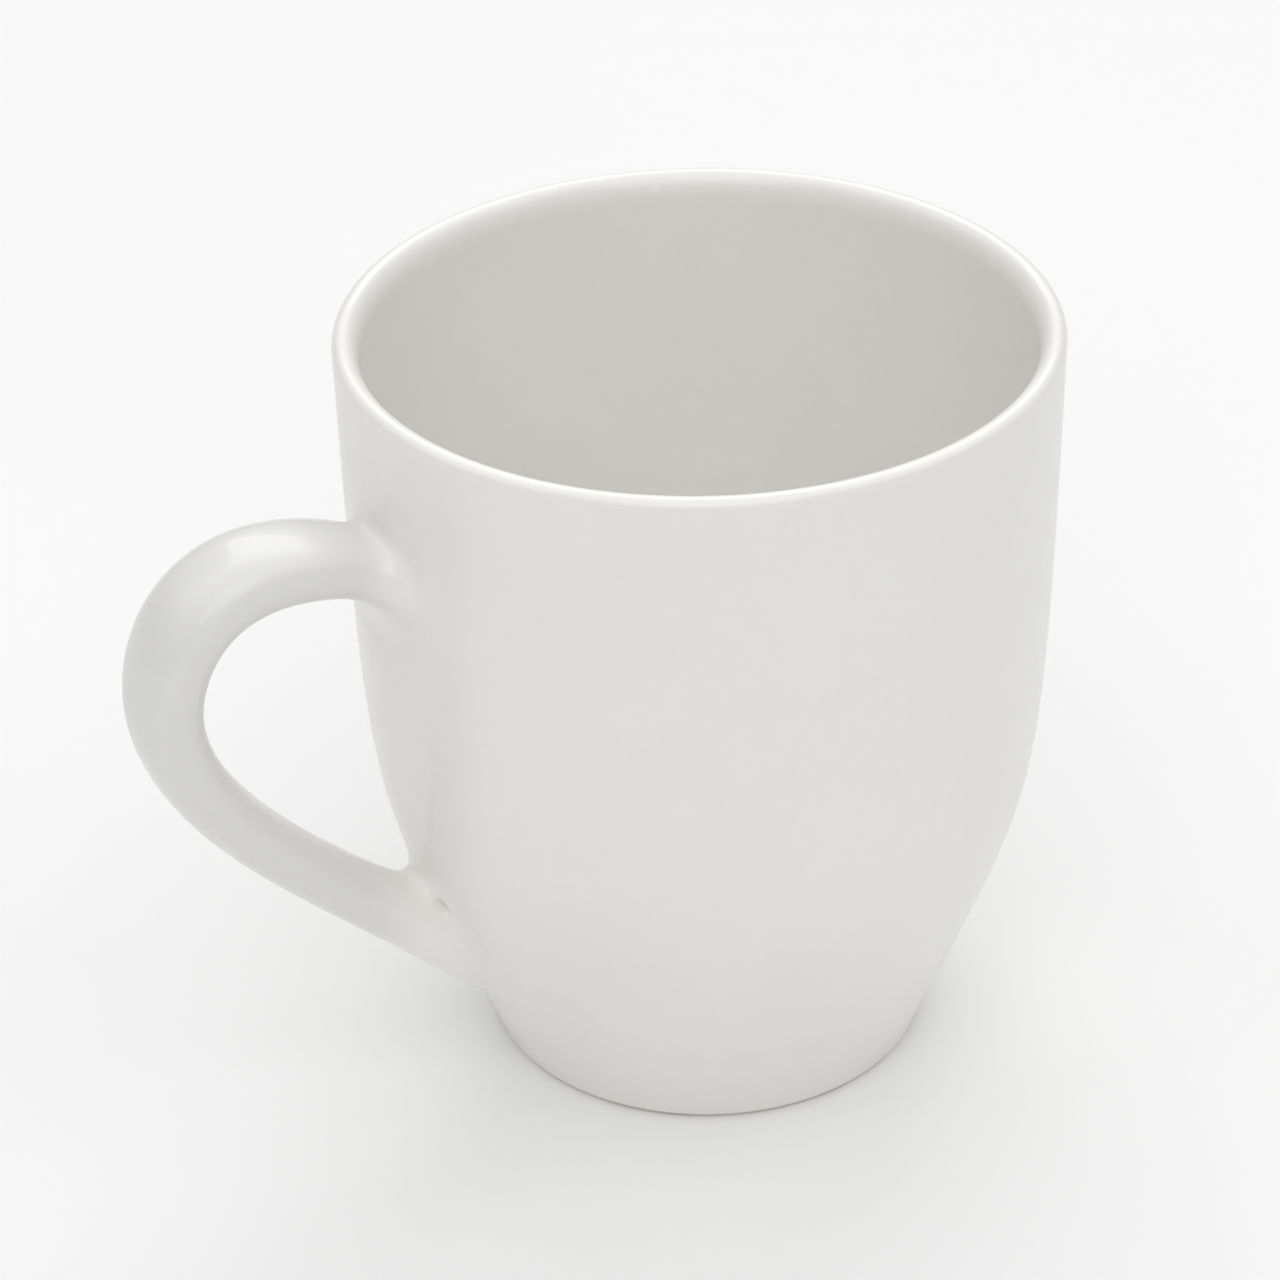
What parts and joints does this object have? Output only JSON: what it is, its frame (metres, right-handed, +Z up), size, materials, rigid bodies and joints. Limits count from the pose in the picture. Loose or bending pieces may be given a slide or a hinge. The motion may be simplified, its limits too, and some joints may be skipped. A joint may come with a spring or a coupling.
{
  "type": "ceramic mug",
  "caption": "Tulip-shaped glazed stoneware mug: tapered foot, rounded belly, soft lip, and a strap handle luted on at both ends.",
  "frame": {"origin": "on the cup's axis, in the plane that the foot ring stands on, 0.8 mm below the centre of the recessed base panel", "axes": "+Z up along the cup's axis, -X towards the handle, +Y across the handle's plane, which is XZ"},
  "size_m": [0.1225, 0.09, 0.1008],
  "materials": {
    "cup_glaze": "gloss",
    "handle_glaze": "gloss",
    "slip_glaze": "gloss"
  },
  "bodies": {
    "root": {"cup_body": "cup_glaze", "handle": "handle_glaze", "upper_slip_joint": "slip_glaze", "lower_slip_joint": "slip_glaze"}
  },
  "joints": []
}
